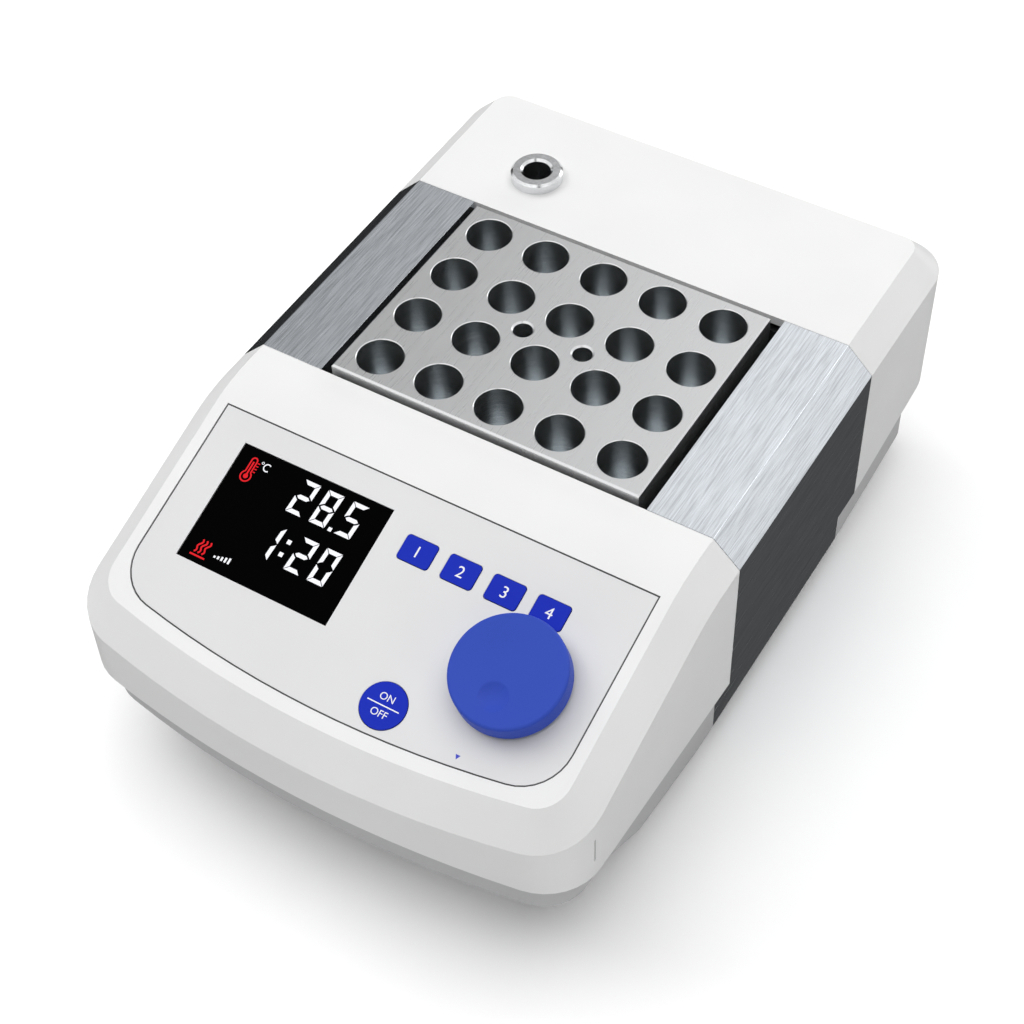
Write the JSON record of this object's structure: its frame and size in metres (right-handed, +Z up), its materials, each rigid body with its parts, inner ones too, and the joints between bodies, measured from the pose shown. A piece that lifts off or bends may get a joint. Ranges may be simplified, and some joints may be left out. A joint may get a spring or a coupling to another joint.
{
  "type": "dry block heater",
  "caption": "Bench dry block heater with a lift-out aluminium tube block in a heated bay, brushed side plates and a sloping panel with display, keys and dial.",
  "frame": {"origin": "on the table, midway between the two side walls and midway between the bowed front edge and the rear wall", "axes": "+Z up, +Y towards the rear wall with the power inlet, the control panel faces -Y and up, +X to the right of a user who faces the panel"},
  "size_m": [0.1566, 0.2294, 0.0873],
  "materials": {
    "white_plastic": "satin moulded white",
    "brushed_plate": "brushed along the short way of the sheet",
    "tray_plastic": "satin moulded off-white",
    "foot_rubber": "matt",
    "overlay_film": "fine matt film",
    "display_glass": "polished black lens",
    "module_plastic": "matt",
    "board_laminate": "coated board",
    "screw_steel": "zinc plated",
    "key_blue": "satin film over the key",
    "black_plastic": "fine texture",
    "zinc_body": "satin plated",
    "shaft_metal": "turned",
    "dial_blue": "satin moulded",
    "liner_plastic": "matt heat-resistant",
    "insulation_felt": "pressed fibre",
    "heater_silicone": "silicone mat",
    "block_aluminium": "machined",
    "sensor_steel": "polished sheath",
    "cutout_metal": "plated cup",
    "lead_sleeve": "smooth sleeve",
    "socket_steel": "turned and polished",
    "transformer_wrap": "taped coil and core",
    "capacitor_sleeve": "shrink sleeve",
    "sink_aluminium": "extruded",
    "terminal_green": "moulded",
    "contact_metal": "nickel plated",
    "rocker_red": "moulded",
    "ribbon_grey": "flat cable"
  },
  "bodies": {
    "base": {"front_housing": "white_plastic", "rear_housing": "white_plastic", "side_plate_left": "brushed_plate", "side_plate_right": "brushed_plate", "base_tray": "tray_plastic", "rubber_feet": "foot_rubber", "panel_overlay": "overlay_film", "display_window": "display_glass", "display_module": "module_plastic", "control_board": "board_laminate", "board_screws": "screw_steel", "key_switches": "module_plastic", "buzzer": "black_plastic", "encoder_body": "zinc_body", "encoder_nut": "zinc_body", "bay_liner": "liner_plastic", "liner_screws": "screw_steel", "insulation_pad": "insulation_felt", "heater_mat": "heater_silicone", "heater_plate": "block_aluminium", "temperature_sensor": "sensor_steel", "thermal_cutout": "cutout_metal", "heater_leads": "lead_sleeve", "rod_socket": "socket_steel", "rod_socket_nut": "zinc_body", "power_board": "board_laminate", "transformer": "transformer_wrap", "capacitors": "capacitor_sleeve", "heat_sink": "sink_aluminium", "triac": "black_plastic", "terminal_block": "terminal_green", "power_inlet": "black_plastic", "inlet_pins": "contact_metal", "switch_frame": "black_plastic", "ribbon_cable": "ribbon_grey", "base_screws": "screw_steel", "plate_screws": "screw_steel"},
    "tube_block": {"heating_block": "block_aluminium"},
    "dial": {"dial_knob": "dial_blue", "encoder_shaft": "shaft_metal"},
    "power_switch": {"power_rocker": "rocker_red"},
    "fuse_tray": {"fuse_drawer": "black_plastic", "fuse": "contact_metal"},
    "key_p1_cap": {"key_p1": "key_blue"},
    "key_p2_cap": {"key_p2": "key_blue"},
    "key_p3_cap": {"key_p3": "key_blue"},
    "key_p4_cap": {"key_p4": "key_blue"},
    "run_stop_key_cap": {"run_stop_key": "key_blue"}
  },
  "joints": [
    {"name": "block_lift", "type": "slide", "parent": "base", "child": "tube_block", "axis": [0, 0, 1], "range_m": [0, 0.06]},
    {"name": "dial_turn", "type": "hinge", "parent": "base", "child": "dial", "pos_m": [0.044, -0.0765, 0.0706], "axis": [0, -0.3239, 0.9461], "continuous": true},
    {"name": "rocker_tip", "type": "hinge", "parent": "base", "child": "power_switch", "pos_m": [-0.03993, 0.10755, 0.057], "axis": [1, 0, 0], "range_deg": [-16, 0]},
    {"name": "fuse_tray_slide", "type": "slide", "parent": "base", "child": "fuse_tray", "axis": [0, 1, 0], "range_m": [0, 0.02]},
    {"name": "key_p1_press", "type": "slide", "parent": "base", "child": "key_p1_cap", "axis": [0, 0.3239, -0.9461], "range_m": [0, 0.0004], "stiffness_N_per_m": 400},
    {"name": "key_p2_press", "type": "slide", "parent": "base", "child": "key_p2_cap", "axis": [0, 0.3239, -0.9461], "range_m": [0, 0.0004], "stiffness_N_per_m": 400},
    {"name": "key_p3_press", "type": "slide", "parent": "base", "child": "key_p3_cap", "axis": [0, 0.3239, -0.9461], "range_m": [0, 0.0004], "stiffness_N_per_m": 400},
    {"name": "key_p4_press", "type": "slide", "parent": "base", "child": "key_p4_cap", "axis": [0, 0.3239, -0.9461], "range_m": [0, 0.0004], "stiffness_N_per_m": 400},
    {"name": "run_stop_key_press", "type": "slide", "parent": "base", "child": "run_stop_key_cap", "axis": [0, 0.3239, -0.9461], "range_m": [0, 0.0004], "stiffness_N_per_m": 400}
  ]
}
